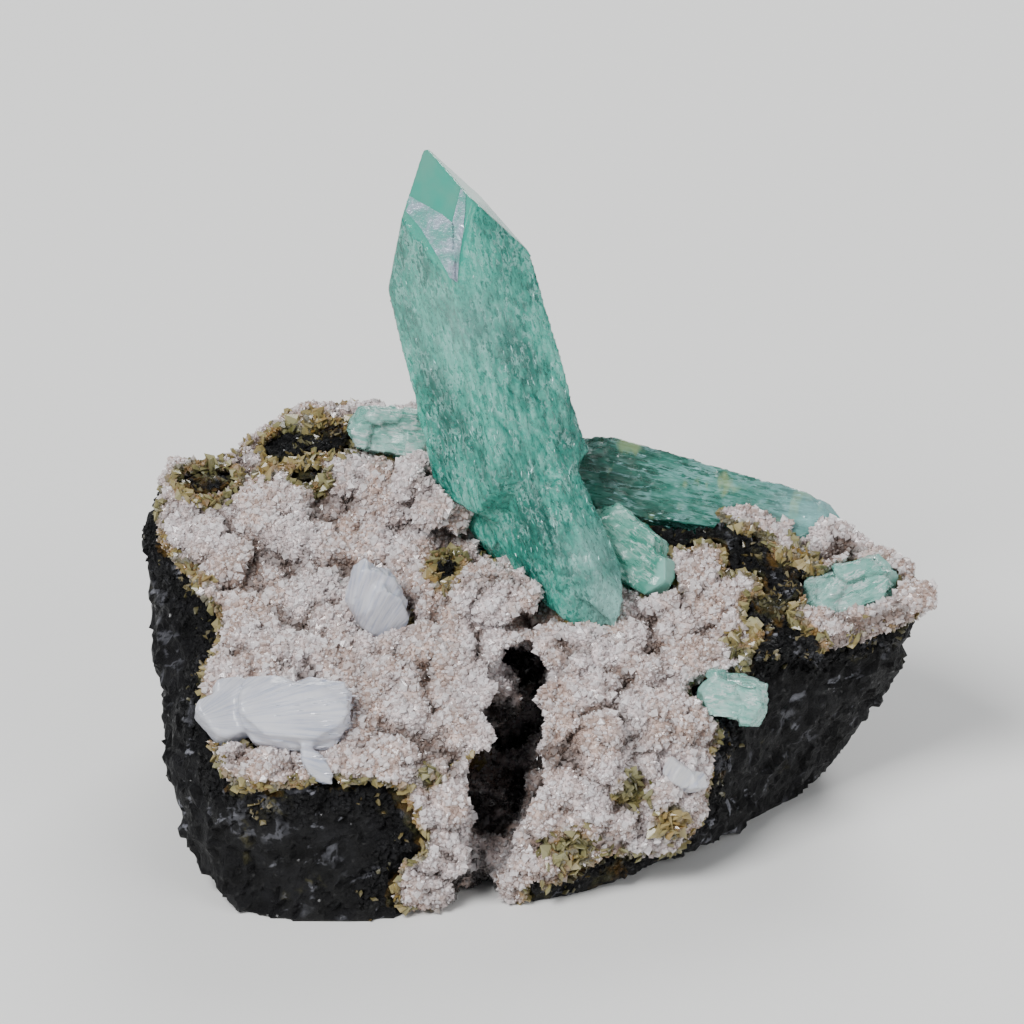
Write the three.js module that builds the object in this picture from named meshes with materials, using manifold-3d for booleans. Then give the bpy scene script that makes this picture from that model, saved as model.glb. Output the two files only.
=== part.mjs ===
// A green apophyllite specimen: one long doubly grown crystal and several smaller ones, standing on a
// chunk of dark basalt whose broken hollow is lined with a pale druse of tiny crystals.
//
// Millimetres, +Z up. The origin is on the flat underside, below the middle of the specimen.
// Most of the specimen is described in a leaning frame, which suits its show face: u runs to the right,
// v up along the face, and w out of it. The exported group stands that frame up, leaning back.

import * as THREE from "three";
import { ConvexGeometry } from "three/addons/geometries/ConvexGeometry.js";
import { ImprovedNoise } from "three/addons/math/ImprovedNoise.js";
import { mergeVertices } from "three/addons/utils/BufferGeometryUtils.js";
import Module from "manifold-3d";

const wasm = await Module();
wasm.setup();

// Driving dimensions
const FACE_LEAN = 28; // degrees that the show face leans back from upright
const FACE_HEIGHT = 32.2; // height of the leaning frame's origin above the underside
const CRUST = 3.2; // thickness of the druse over the basalt
const LINING = 2.4; // thickness of the druse inside the cleft
const SEAM = 0.3; // gap between pieces that touch
const PRISM_SIDE = 11.4; // side of the tall crystal's square prism
const BLUNT = 0.5; // how far the small flat end of a crystal lies below its point
const PYRAMID_SLOPE = 29.7; // degrees between a pyramid face and the crystal's long axis, apophyllite's own

const vec = (u, v, w) => new THREE.Vector3(u, v, w);
const radians = THREE.MathUtils.degToRad;

// Solids

// A closed geometry as a solid that can be joined and cut.
function solidOf(geometry) {
  const bare = new THREE.BufferGeometry().setAttribute("position", geometry.getAttribute("position"));
  if (geometry.index) bare.setIndex(geometry.index);
  const merged = mergeVertices(bare, 1e-4);
  return new wasm.Manifold(
    new wasm.Mesh({
      numProp: 3,
      vertProperties: new Float32Array(merged.getAttribute("position").array),
      triVerts: new Uint32Array(merged.index.array),
    }),
  );
}

// The largest body of a solid, without the crumbs that a cut leaves.
function largest(solid) {
  return solid.decompose().reduce((best, body) => (body.volume() > best.volume() ? body : best));
}

function geometryOf(solid) {
  const { numProp, vertProperties, triVerts } = solid.getMesh();
  const position = new Float32Array((vertProperties.length / numProp) * 3);
  for (let i = 0; i < position.length / 3; i++) {
    position.set(vertProperties.subarray(i * numProp, i * numProp + 3), i * 3);
  }
  const geometry = new THREE.BufferGeometry();
  geometry.setAttribute("position", new THREE.BufferAttribute(position, 3));
  geometry.setIndex(new THREE.BufferAttribute(new Uint32Array(triVerts), 1));
  return geometry.toNonIndexed();
}

const joined = (solids) => solids.reduce((all, one) => all.add(one));

// Rough surfaces

const noise = new ImprovedNoise();

// Smooth noise from about -1 to 1 whose swells are `size` millimetres apart.
function swell(p, size, seed = 0) {
  return 1.6 * noise.noise(p.x / size + seed, p.y / size - seed, p.z / size + 2.3 * seed);
}

// Round swellings with creases between them, as a druse has, from about -0.5 to 0.5.
function lumps(p, size, seed) {
  return 0.5 - Math.sqrt(Math.abs(swell(p, size, seed)));
}

// A ball with radii [u, v, w] about a centre, its surface pushed in and out by `rough` millimetres.
function boulder({ at, radii, rough = 0.5, grow = 0, detail = 1 }) {
  const geometry = mergeVertices(
    new THREE.IcosahedronGeometry(1, detail).deleteAttribute("normal").deleteAttribute("uv"),
  );
  const points = geometry.getAttribute("position");
  const centre = vec(...at);
  const size = vec(...radii).addScalar(grow);
  for (let i = 0; i < points.count; i++) {
    const p = vec().fromBufferAttribute(points, i);
    const place = p.clone().multiply(size).add(centre);
    place.addScaledVector(p, rough * lumps(place, 5, 3));
    points.setXYZ(i, ...place);
  }
  return solidOf(geometry);
}

// The rock

const ROCK_CENTRE = vec(1, -16, -2);
const BLOCK = [100, 72, 110]; // a block that is larger than the rock
const FAR = 90; // a distance that is outside the rock
const FACE_CELL = 2.9; // spacing of the points on the druse's surface
const UNDER_CELL = 6; // and on its underside
const BASALT_DETAIL = 8; // how finely the broken faces are divided

// Corners of the rock's outline as the show face is seen, clockwise from the left. `front` and `back` are
// the degrees that the broken faces turn towards the viewer and away at this corner. Along the top the
// druse comes up to the edge, and there is no front.
const OUTLINE = [
  { at: [-39.8, -9, -6], front: 44, back: 22 },
  { at: [-39, 0.8, -6], front: 42, back: 25 },
  { at: [-35, 5, -10], back: 20 },
  { at: [-29.8, 5.9, -11], back: 18 },
  { at: [-27, 8.6, -13], back: 18 },
  { at: [-21, 13.8, -17.5], back: 14 },
  { at: [-10, 12, -16], back: 14 },
  { at: [9, 4.2, -11], back: 14 },
  { at: [23, 2.4, -10], back: 16 },
  { at: [34.6, -1.6, -8], back: 22 },
  { at: [41.6, -6, -4.5], back: 26 },
  { at: [44.3, -9.6, -2], front: 30, back: 30 },
  { at: [42.6, -15, -5], front: 62, back: 26 },
  { at: [35.8, -26.4, -12], front: 39, back: 16 },
  { at: [30.2, -31.2, -10], front: 33, back: 12 },
  { at: [22.4, -33.6, -2], front: 28, back: 10 },
  { at: [18.6, -36, 2], front: 18, back: 10 },
  { at: [4, -40.6, 7], front: 40, back: 10 },
  { at: [-1, -41.4, 8], front: 62, back: 10 },
  { at: [-12, -42.8, 10], front: 66, back: 10 },
  { at: [-21.4, -43.8, 13], front: 70, back: 10 },
  { at: [-31.8, -39.4, 9], front: 62, back: 16 },
  { at: [-35.6, -33.5, 6.5], front: 36, back: 18 },
  { at: [-37.4, -26, 4], front: 33, back: 20 },
];

// Broken faces at the hidden back, each by a point on it and the way that it faces, in the standing frame.
const BACK_FACES = [
  { at: [-12, 27, 14], facing: [0.1, 1, 0.12] },
  { at: [24, 24, 12], facing: [0.5, 0.9, 0.05] },
  { at: [-32, 19, 12], facing: [-0.75, 0.7, 0.1] },
  { at: [-14, 23, 33], facing: [0.05, 0.45, 0.9] },
];

// The broken face that cuts the left-hand lobe off below its druse.
const LOBE_FACE = { at: vec(-20, -26, 16.4), normal: vec(0.1, -0.25, 1).normalize() };

// The two broad faces that carry the druse: the sloping top, and the front of the right-hand lobe.
const CRUST_FACES = [
  { at: vec(0, 0, -5), normal: vec(0.05, 0.8, 1).normalize() },
  { at: vec(10, -28, 12), normal: vec(0.29, -0.1, 1).normalize() },
];

// Rough knobs of basalt that come up through the druse.
const WINDOWS = [
  { at: [18.4, -1.9, -5.5], radii: [4, 1.8, 4] },
  { at: [22.4, -2.6, -4.8], radii: [2, 1.4, 4] },
  { at: [24.8, -4.6, -3.4], radii: [3, 2.2, 4] },
  { at: [28.6, -7.2, -1.6], radii: [3, 2.6, 4] },
  { at: [26.4, -10.8, 1], radii: [2.6, 2.6, 4] },
  { at: [28.6, -14.4, 3.4], radii: [4.2, 3, 4] },
  { at: [-19.4, 7.8, -10.8], radii: [3, 1.7, 4] },
  { at: [-23.8, 7, -10], radii: [2.8, 2.2, 4] },
  { at: [-21.8, 4, -8], radii: [2, 1.4, 4] },
  { at: [-32.4, 3.4, -6.8], radii: [3, 1.9, 4] },
  { at: [-7, -6.2, 0], radii: [1.7, 2.1, 3] },
].map((knob) => ({ ...knob, rough: 1.7 }));

// Swellings and dips of the druse on the broad faces: place on the face, radius and rise.
const SWELLINGS = [
  { at: [-12.5, 4.5], radius: 5.5, rise: 1.8 },
  { at: [-22, 1.2], radius: 4, rise: 1.8 },
  { at: [-30, -0.8], radius: 5.5, rise: 1.4 },
  { at: [-27, -13.5], radius: 5, rise: 1.6 },
  { at: [-9.5, -22], radius: 5, rise: 1.2 },
  { at: [-8, -13], radius: 5, rise: 1.4 },
  { at: [9.5, -19.5], radius: 7, rise: 2.4 },
  { at: [8.5, -30.5], radius: 6.5, rise: 1.6 },
  { at: [19, -12], radius: 6, rise: 1.4 },
  { at: [24.5, 0.2], radius: 4.5, rise: 1.6 },
  { at: [40.5, -9.5], radius: 5, rise: 1.2 },
  { at: [-25.5, -6.5], radius: 5, rise: -1.6 },
  { at: [-17, -2.5], radius: 4.5, rise: -1.6 },
  { at: [-14.5, -15], radius: 4.5, rise: -1.4 },
  { at: [14.5, -25], radius: 4, rise: -1.2 },
  { at: [16, -17], radius: 3.5, rise: -1.3 },
];

const leaning = new THREE.Matrix4().makeRotationX(radians(90 - FACE_LEAN)).setPosition(0, 0, FACE_HEIGHT);
const standing = leaning.clone().invert();

// The outline's corners as seen from the rock's centre.
const CORNERS = OUTLINE.map(({ at, front, back }) => {
  const out = vec(...at).sub(ROCK_CENTRE);
  return { out, front, back, angle: Math.atan2(out.y, out.x) };
});

// The stretch of outline that a direction meets: its radius and depth there, and the faces that meet in it.
function outlineAt(direction) {
  const angle = Math.atan2(direction.y, direction.x);
  const turns = CORNERS.map((corner) => (corner.angle - angle + 4 * Math.PI) % (2 * Math.PI));
  const index = turns.indexOf(Math.min(...turns));
  const from = CORNERS[index];
  const to = CORNERS[(index + 1) % CORNERS.length];
  const edge = to.out.clone().sub(from.out);
  const share = (from.out.x * Math.sin(angle) - from.out.y * Math.cos(angle))
    / (edge.y * Math.cos(angle) - edge.x * Math.sin(angle));
  const place = from.out.clone().addScaledVector(edge, share);
  return {
    radius: Math.hypot(place.x, place.y),
    depth: place.z,
    front: from.front && THREE.MathUtils.lerp(from.front, to.front ?? from.front, share),
    back: THREE.MathUtils.lerp(from.back, to.back, share),
  };
}

// The flat cuts, each by the way that it faces and its distance from the rock's centre.
const CUTS = [LOBE_FACE, ...BACK_FACES.map(({ at, facing }) => ({
  at: vec(...at).applyMatrix4(standing),
  normal: vec(...facing).normalize().transformDirection(standing),
}))].map(({ at, normal }) => ({ normal, reach: normal.dot(at.clone().sub(ROCK_CENTRE)) }));

// Distance from the rock's centre to the broken basalt faces in a direction.
function faceDistance(direction) {
  const { radius, depth, front, back } = outlineAt(direction);
  const across = Math.hypot(direction.x, direction.y);
  const distances = [-back, front].filter((turn) => turn !== undefined).map((turn) => {
    const slope = across * Math.cos(radians(turn)) + direction.z * Math.sin(radians(turn));
    const reach = radius * Math.cos(radians(turn)) + depth * Math.sin(radians(turn));
    return slope > 1e-3 ? reach / slope : 200;
  });
  for (const { normal, reach } of CUTS) {
    const slope = normal.dot(direction);
    if (slope > 1e-3) distances.push(reach / slope);
  }
  return Math.min(...distances);
}

// How far the druse's surface is raised or sunk at a place on the broad faces.
function rise(p) {
  const swellings = SWELLINGS.reduce((sum, { at, radius, rise: height }) => {
    const distance = Math.hypot(p.x - at[0], p.y - at[1]) / radius;
    return sum + height * Math.exp(-1.4 * distance ** 2);
  }, 0);
  return swellings + 1.5 * lumps(p, 7.5, 1) + 0.8 * lumps(p, 3.6, 5);
}

// How far out the druse's surface lies at a place on the show face.
function crustHeight(u, v) {
  return Math.min(...CRUST_FACES.map(({ at, normal }) => {
    const height = at.z - (normal.x * (u - at.x) + normal.y * (v - at.y)) / normal.z;
    return height + rise(vec(u, v, height));
  }));
}

const crustBottom = (u, v) => crustHeight(u, v) - CRUST - 0.5 * swell(vec(u, v, 0), 6, 4);

// All that lies behind a rough face: a block whose front is at a given height over each place.
function blockBehind(height, cell) {
  const [width, tall, deep] = BLOCK;
  const cells = [width, tall].map((side) => Math.round(side / cell));
  const geometry = new THREE.BoxGeometry(width, tall, deep, ...cells);
  geometry.translate(ROCK_CENTRE.x, ROCK_CENTRE.y, -deep / 2);
  const points = geometry.getAttribute("position");
  for (let i = 0; i < points.count; i++) {
    if (points.getZ(i) < -1) continue;
    const place = vec().fromBufferAttribute(points, i);
    const u = place.x + 0.3 * cell * swell(place, 1.3 * cell, 11);
    const v = place.y + 0.3 * cell * swell(place, 1.3 * cell, 17);
    points.setXYZ(i, u, v, height(u, v));
  }
  return solidOf(geometry);
}

// Distance to the broken basalt's surface, with its steps and pits.
function basaltDistance(direction) {
  const distance = Math.min(faceDistance(direction), FAR);
  const place = direction.clone().multiplyScalar(distance).add(ROCK_CENTRE);
  return distance + 0.9 * swell(place, 9, 2) + 0.5 * lumps(place, 4, 7);
}

// A body whose surface lies at a given distance from the rock's centre in each direction.
function starBody(distance, detail) {
  const geometry = mergeVertices(
    new THREE.IcosahedronGeometry(1, detail).deleteAttribute("normal").deleteAttribute("uv"),
  );
  const points = geometry.getAttribute("position");
  for (let i = 0; i < points.count; i++) {
    // The directions are spread for a body that is wider than it is deep.
    const direction = vec().fromBufferAttribute(points, i).multiply(vec(1.45, 0.95, 0.85)).normalize();
    points.setXYZ(i, ...direction.multiplyScalar(distance(direction)).add(ROCK_CENTRE));
  }
  return solidOf(geometry);
}

// The cleft that opens at the front and the foot of the rock, as a chain of overlapping hollows.
const CLEFT = [
  { at: [0.9, -16.8, 3], radii: [3.5, 3.8, 14] },
  { at: [0.3, -21.5, 4], radii: [4.1, 5, 15] },
  { at: [-0.7, -27.5, 7], radii: [5, 6, 13] },
  { at: [-2, -33.5, 14], radii: [3.2, 6, 9] },
  { at: [-3.1, -43, 12], radii: [3.2, 7, 12] },
  { at: [-4.6, -42.5, 19.6], radii: [9, 8.6, 9.6], detail: 2 },
];

// The small pocket beside the tall crystal's lower part.
const POCKET = { at: [-3.2, -1.8, 3], radii: [2.9, 2.2, 7] };

// Balls of druse: two beside the tall crystal, one over the cleft, the rest inside it.
const KNOBS = [
  { at: [-7.6, 2.6, -3.4], radii: [5, 4.6, 5.4], rough: 2 },
  { at: [-1.8, -8.8, 2.2], radii: [6.6, 3.8, 4.6], rough: 2 },
  { at: [6.6, -14.4, 5.4], radii: [4.4, 3, 4.2], rough: 2 },
];
const CLEFT_KNOBS = [
  { at: [-2.6, -18.5, 0], radii: [3.6, 3.4, 4.5], rough: 1.4 },
  { at: [4.6, -29.5, 1], radii: [3.6, 5, 5], rough: 1.4 },
  { at: [-3.6, -31, -1], radii: [3.6, 3.4, 4.4], rough: 1.4 },
];

// All that lies lower than a height over the underside.
function below(height) {
  const size = 200;
  const box = new THREE.BoxGeometry(size, size, size).translate(0, 0, height - size / 2);
  return solidOf(box.applyMatrix4(standing));
}

// The basalt and the druse, with sockets for the crystals that are set in them.
function rock(sockets) {
  const broken = starBody((d) => Math.min(basaltDistance(d), FAR), BASALT_DETAIL);
  const outside = broken.intersect(blockBehind(crustHeight, FACE_CELL));
  const under = (seam) => {
    const windows = WINDOWS.map((ball) => boulder({ ...ball, grow: seam }));
    return joined([blockBehind((u, v) => crustBottom(u, v) + seam, UNDER_CELL), ...windows]);
  };
  const cleft = (grow) => joined(CLEFT.map((hollow) => boulder({ rough: 0.9, ...hollow, grow })));
  const bulges = joined(CLEFT_KNOBS.map((knob) => boulder(knob)));
  const knobs = joined(KNOBS.map((knob) => boulder(knob)));

  const basalt = outside
    .intersect(under(0))
    .subtract(cleft(LINING + SEAM))
    .subtract(below(0))
    .subtract(sockets);
  const druse = outside
    .subtract(under(SEAM).subtract(cleft(LINING)))
    .add(knobs.subtract(under(SEAM)))
    .subtract(cleft(0).subtract(bulges))
    .subtract(boulder(POCKET))
    .subtract(below(SEAM))
    .subtract(sockets);
  return { basalt: largest(basalt), druse: largest(druse) };
}

// Crystals

// The convex body bounded by flat faces, each a unit normal and its distance from the origin. Corners are
// where three faces meet inside all the others.
function facetted(faces, grow = 0) {
  const corners = [];
  faces.forEach((a, i) =>
    faces.slice(i + 1).forEach((b, j) =>
      faces.slice(i + j + 2).forEach((c) => {
        const bc = b.normal.clone().cross(c.normal);
        const det = a.normal.dot(bc);
        if (Math.abs(det) < 1e-4) return;
        const corner = bc.multiplyScalar(a.reach + grow);
        corner.addScaledVector(c.normal.clone().cross(a.normal), b.reach + grow);
        corner.addScaledVector(a.normal.clone().cross(b.normal), c.reach + grow);
        corner.divideScalar(det);
        if (faces.every((f) => f.normal.dot(corner) < f.reach + grow + 1e-4)) corners.push(corner);
      }),
    ),
  );
  return new ConvexGeometry(corners);
}

// Faces of a square prism along +Y with a steep pyramid at its upper end, as apophyllite grows: each
// pyramid face stands over an edge of the prism. `side` is [width, depth] of the prism, `taper` its
// narrowing to the top in degrees, and `tip` and `foot` the heights of the point and of the lower point.
function apophylliteFaces({ side, tip, foot, taper = 0, slope = PYRAMID_SLOPE, footSlope = slope }) {
  const faces = [];
  const [width, depth] = side;
  for (const [x, z] of [[1, 1], [1, -1], [-1, 1], [-1, -1]]) {
    const normal = vec(x, Math.SQRT2 * Math.tan(radians(taper)), z).normalize();
    faces.push({ normal, reach: (x * z > 0 ? width : depth) / 2 });
  }
  for (const [x, z] of [[1, 0], [-1, 0], [0, 1], [0, -1]]) {
    const up = Math.sin(radians(slope));
    const down = Math.sin(radians(footSlope));
    const out = Math.cos(radians(slope));
    const footOut = Math.cos(radians(footSlope));
    faces.push({ normal: vec(x * out, up, z * out), reach: up * tip });
    faces.push({ normal: vec(x * footOut, -down, z * footOut), reach: -down * foot });
  }
  faces.push({ normal: vec(0, 1, 0), reach: tip - BLUNT });
  faces.push({ normal: vec(0, -1, 0), reach: -foot - BLUNT });
  return faces;
}

// A crystal of those faces: `at` is its middle, `lean` its turn to the left in the show face, `nod` its turn
// towards the viewer, and `spin` its turn about its own length.
function crystal({ at, lean, nod = 0, spin = 0, ...form }, grow = 0) {
  const turn = new THREE.Euler(radians(nod), radians(spin), radians(lean), "ZXY");
  const place = new THREE.Matrix4().makeRotationFromEuler(turn).setPosition(...at);
  return solidOf(facetted(apophylliteFaces(form), grow).applyMatrix4(place));
}

// The tall crystal: the upper crystal with its point, a rib on its right, and two that run down from it.
const TALL = [
  {
    at: [-3.6, 18, 1], lean: 15, nod: 2, spin: -8,
    side: [PRISM_SIDE, PRISM_SIDE], tip: 21.4, foot: -21, taper: 1.2, footSlope: 50,
  },
  { at: [1.3, 9.6, -0.8], lean: 14, nod: 2, spin: -8, side: [8.6, 7.4], tip: 18, foot: -14, taper: 1 },
  { at: [4.4, -3, 2.2], lean: 25, nod: -5, spin: -8, side: [7.8, 7.4], tip: 16, foot: -11.8, taper: -3 },
  {
    at: [6.6, -2.8, 3.4], lean: 25, nod: -5, spin: 20,
    side: [4.8, 6.4], tip: 12, foot: -10.6, taper: -1,
  },
  { at: [-1.2, -0.6, -3], lean: 12, nod: 0, spin: 10, side: [5.6, 5.6], tip: 9, foot: -6.5 },
];

// The long crystal that lies along the ridge and points right.
const LYING = [
  {
    at: [16, 2, -9.2], lean: -100.5, spin: 30,
    side: [7.6, 7.2], tip: 20.2, foot: -15, taper: 4.6, slope: 34,
  },
];

// The fan-shaped crystal to the right of the tall one's foot, its two blades side by side.
const FAN = [
  {
    at: [11.4, -3, -2.2], lean: -132, nod: 8, spin: 45,
    side: [6.4, 4.6], tip: 6.2, foot: -5, taper: -3, slope: 48,
  },
  {
    at: [13, -5.4, -1.2], lean: -118, nod: 8, spin: 45,
    side: [4.4, 3.6], tip: 4.8, foot: -5, taper: -2, slope: 52,
  },
];

// The pale crystal behind the tall one, pointing left.
const BEHIND = [
  { at: [-12.6, 8.6, -10], lean: 84, spin: 40, side: [5, 4.6], tip: 6, foot: -6, taper: 1, slope: 42 },
];

// Two pale broken crystals set in the right-hand end of the druse.
const PALE_UPPER = [
  {
    at: [35.4, -7.8, -1.8], lean: -68, nod: 0, spin: 45,
    side: [5.2, 4.8], tip: 6, foot: -5.6, slope: 52,
  },
];
const PALE_LOWER = [
  {
    at: [23.2, -19.2, 7.4], lean: 78, nod: 0, spin: 40,
    side: [4.6, 4.4], tip: 4.8, foot: -4.4, slope: 52,
  },
];

// A blade of stilbite: a thin six-sided plate, pointed at both ends.
function blade({ at, lean, nod = 0, spin = 0, width, thickness, length }, grow = 0) {
  const point = 38;
  const faces = [];
  for (const sign of [1, -1]) {
    faces.push({ normal: vec(sign, 0, 0), reach: width / 2 });
    faces.push({ normal: vec(0, 0, sign), reach: thickness / 2 });
    faces.push({ normal: vec(0, sign, 0), reach: length / 2 });
    for (const side of [1, -1]) {
      const normal = vec(side * Math.cos(radians(point)), sign * Math.sin(radians(point)), 0);
      faces.push({ normal, reach: (length / 2 + 0.12 * width) * Math.sin(radians(point)) });
    }
  }
  const turn = new THREE.Euler(radians(nod), radians(spin), radians(lean), "ZXY");
  const place = new THREE.Matrix4().makeRotationFromEuler(turn).setPosition(...at);
  return solidOf(facetted(faces, grow).applyMatrix4(place));
}

const STILBITE_BLADE = [
  { at: [-14.2, -9, 4.4], lean: 24, nod: 36, spin: 12, width: 5.6, thickness: 2.2, length: 9.4 },
  { at: [-13.2, -10.4, 4.6], lean: 14, nod: 36, spin: 12, width: 4.4, thickness: 1.8, length: 7.4 },
];

// The bow-tie sheaf of stilbite: blades fanned about a waist, and two small ones at its foot.
const SHEAF_FAN = [-32, -16, 0, 16, 32];
const STILBITE_SHEAF = [
  ...SHEAF_FAN.map((turn) => ({
    at: [-22.6 + 0.02 * turn, -20.8, 14.2 - 0.02 * Math.abs(turn)],
    lean: 86 + turn,
    nod: 0,
    spin: 14,
    width: 5.8,
    thickness: 4.8 - 0.05 * Math.abs(turn),
    length: 11.4,
  })),
  { at: [-29.4, -21, 12.6], lean: 78, spin: 20, width: 5.6, thickness: 3.6, length: 7 },
  { at: [-27.4, -19.6, 12], lean: 62, spin: 20, width: 3.6, thickness: 3, length: 8 },
  { at: [-20.2, -26, 16.4], lean: 38, nod: 20, spin: 0, width: 2, thickness: 1.6, length: 5 },
];

// A small cluster of white blocks low on the right-hand lobe.
const WHITE_BLOCKS = [
  { at: [17.2, -26.9, 10], lean: 12, nod: 30, spin: 20, width: 2.8, thickness: 2.6, length: 2.8 },
  { at: [18.9, -27.9, 9.4], lean: 48, nod: 20, spin: 40, width: 2.2, thickness: 2.2, length: 2.4 },
];

// Colours, roughness and metalness of the finishes
const FINISHES = {
  basalt: { color: "#1d1d20", roughness: 0.8 },
  druse: { color: "#cdbdb6", roughness: 0.55 },
  green: { color: "#5fae98", roughness: 0.2, transparent: true, opacity: 0.85 },
  pale: { color: "#a9cfc3", roughness: 0.2, transparent: true, opacity: 0.85 },
  white: { color: "#cfd0d6", roughness: 0.4 },
};

// Crystals are made in this order, and each is cut by those before it, so that they meet at a seam.
const CRYSTALS = [
  { name: "tall_crystal", parts: TALL, make: crystal, finish: "green" },
  { name: "lying_crystal", parts: LYING, make: crystal, finish: "green" },
  { name: "fan_crystal", parts: FAN, make: crystal, finish: "green" },
  { name: "behind_crystal", parts: BEHIND, make: crystal, finish: "pale" },
  { name: "pale_crystal_upper", parts: PALE_UPPER, make: crystal, finish: "pale" },
  { name: "pale_crystal_lower", parts: PALE_LOWER, make: crystal, finish: "pale" },
  { name: "stilbite_blade", parts: STILBITE_BLADE, make: blade, finish: "white" },
  { name: "stilbite_sheaf", parts: STILBITE_SHEAF, make: blade, finish: "white" },
  { name: "white_blocks", parts: WHITE_BLOCKS, make: blade, finish: "white" },
];

// The standing group of pieces

function piece(name, solid, finish) {
  const material = new THREE.MeshStandardMaterial({ metalness: 0, flatShading: true, ...FINISHES[finish] });
  const mesh = new THREE.Mesh(geometryOf(solid), material);
  mesh.name = name;
  return mesh;
}

function specimen() {
  const group = new THREE.Group();
  const sockets = [];
  for (const { name, parts, make, finish } of CRYSTALS) {
    let body = joined(parts.map((part) => make(part)));
    for (const socket of sockets) body = body.subtract(socket);
    sockets.push(joined(parts.map((part) => make(part, SEAM))));
    group.add(piece(name, largest(body), finish));
  }
  const { basalt, druse } = rock(joined(sockets));
  group.add(piece("basalt_matrix", basalt, "basalt"), piece("drusy_crust", druse, "druse"));
  group.applyMatrix4(leaning);
  const box = new THREE.Box3().setFromObject(group, true);
  const middle = box.getCenter(vec());
  group.position.sub(vec(middle.x, middle.y, box.min.z));
  return group;
}

export default specimen();
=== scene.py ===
"""The looks of a green apophyllite specimen: its crystals, its druse and the dark basalt that they sit on."""

import logging
import math
from dataclasses import dataclass, field
from enum import Enum
from typing import Iterable

import bmesh
import bpy
import numpy as np
from mathutils import Matrix, Vector, noise
from mathutils.bvhtree import BVHTree
from mathutils.kdtree import KDTree


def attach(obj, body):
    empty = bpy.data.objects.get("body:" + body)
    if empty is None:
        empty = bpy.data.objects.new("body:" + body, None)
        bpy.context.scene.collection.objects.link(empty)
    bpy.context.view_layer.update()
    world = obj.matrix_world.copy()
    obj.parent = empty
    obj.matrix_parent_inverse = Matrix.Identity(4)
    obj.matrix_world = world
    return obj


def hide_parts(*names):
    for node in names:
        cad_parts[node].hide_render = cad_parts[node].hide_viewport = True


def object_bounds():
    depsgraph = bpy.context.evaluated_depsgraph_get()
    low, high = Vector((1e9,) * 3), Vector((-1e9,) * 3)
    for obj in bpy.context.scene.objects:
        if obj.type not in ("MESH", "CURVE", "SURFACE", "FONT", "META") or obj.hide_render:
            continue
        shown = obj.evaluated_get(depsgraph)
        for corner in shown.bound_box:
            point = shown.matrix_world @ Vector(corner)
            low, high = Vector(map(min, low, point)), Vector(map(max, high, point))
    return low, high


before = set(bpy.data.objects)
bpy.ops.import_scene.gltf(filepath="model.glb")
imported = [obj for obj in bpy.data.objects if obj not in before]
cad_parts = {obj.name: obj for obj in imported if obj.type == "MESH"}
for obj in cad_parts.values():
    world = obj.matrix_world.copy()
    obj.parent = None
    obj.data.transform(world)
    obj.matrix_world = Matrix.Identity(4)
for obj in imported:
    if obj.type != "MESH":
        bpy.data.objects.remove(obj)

logging.basicConfig(level=logging.INFO, format="%(message)s")
log = logging.getLogger("specimen")

MM = 0.001
CAD_BOX = [list(corner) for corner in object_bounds()]

LEAN = math.radians(28)
SHOW_ORIGIN = Vector((-2.78, 0.55, 32.2)) * MM
SHOW_RIGHT = Vector((1, 0, 0))
SHOW_UP = Vector((0, math.sin(LEAN), math.cos(LEAN)))
SHOW_OUT = Vector((0, -math.cos(LEAN), math.sin(LEAN)))


def show(u: float, v: float, w: float) -> Vector:
    """The place at u to the right, v up and w out of the leaning show face, all in millimetres."""
    return SHOW_ORIGIN + (SHOW_RIGHT * u + SHOW_UP * v + SHOW_OUT * w) * MM


# Shader graphs


class Shade:
    """A socket of a shader graph that can be used in sums."""

    def __init__(self, graph: "Graph", socket: bpy.types.NodeSocket) -> None:
        """Keeps the socket with the graph that it belongs to."""
        self.graph = graph
        self.socket = socket

    def _sum(self, operation: str, first: object, second: object) -> "Shade":
        """One Math node with two operands."""
        return self.graph.node("ShaderNodeMath", {"operation": operation}, {0: first, 1: second})

    def __add__(self, other: object) -> "Shade":
        """The sum of the two."""
        return self._sum("ADD", self, other)

    def __radd__(self, other: object) -> "Shade":
        """The sum of the two."""
        return self._sum("ADD", other, self)

    def __sub__(self, other: object) -> "Shade":
        """This less the other."""
        return self._sum("SUBTRACT", self, other)

    def __rsub__(self, other: object) -> "Shade":
        """The other less this."""
        return self._sum("SUBTRACT", other, self)

    def __mul__(self, other: object) -> "Shade":
        """The product of the two."""
        return self._sum("MULTIPLY", self, other)

    def __rmul__(self, other: object) -> "Shade":
        """The product of the two."""
        return self._sum("MULTIPLY", other, self)

    def between(self, low: float, high: float) -> "Shade":
        """Maps this smoothly onto 0 to 1.

        Args:
            low: what becomes 0; it may be the larger.
            high: what becomes 1.

        Returns:
            The share.
        """
        ends = {"From Min": low, "From Max": high, "To Min": 0.0, "To Max": 1.0}
        settings = {"interpolation_type": "SMOOTHSTEP", "clamp": True}
        return self.graph.node("ShaderNodeMapRange", settings, {"Value": self, **ends}, "Result")


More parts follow.
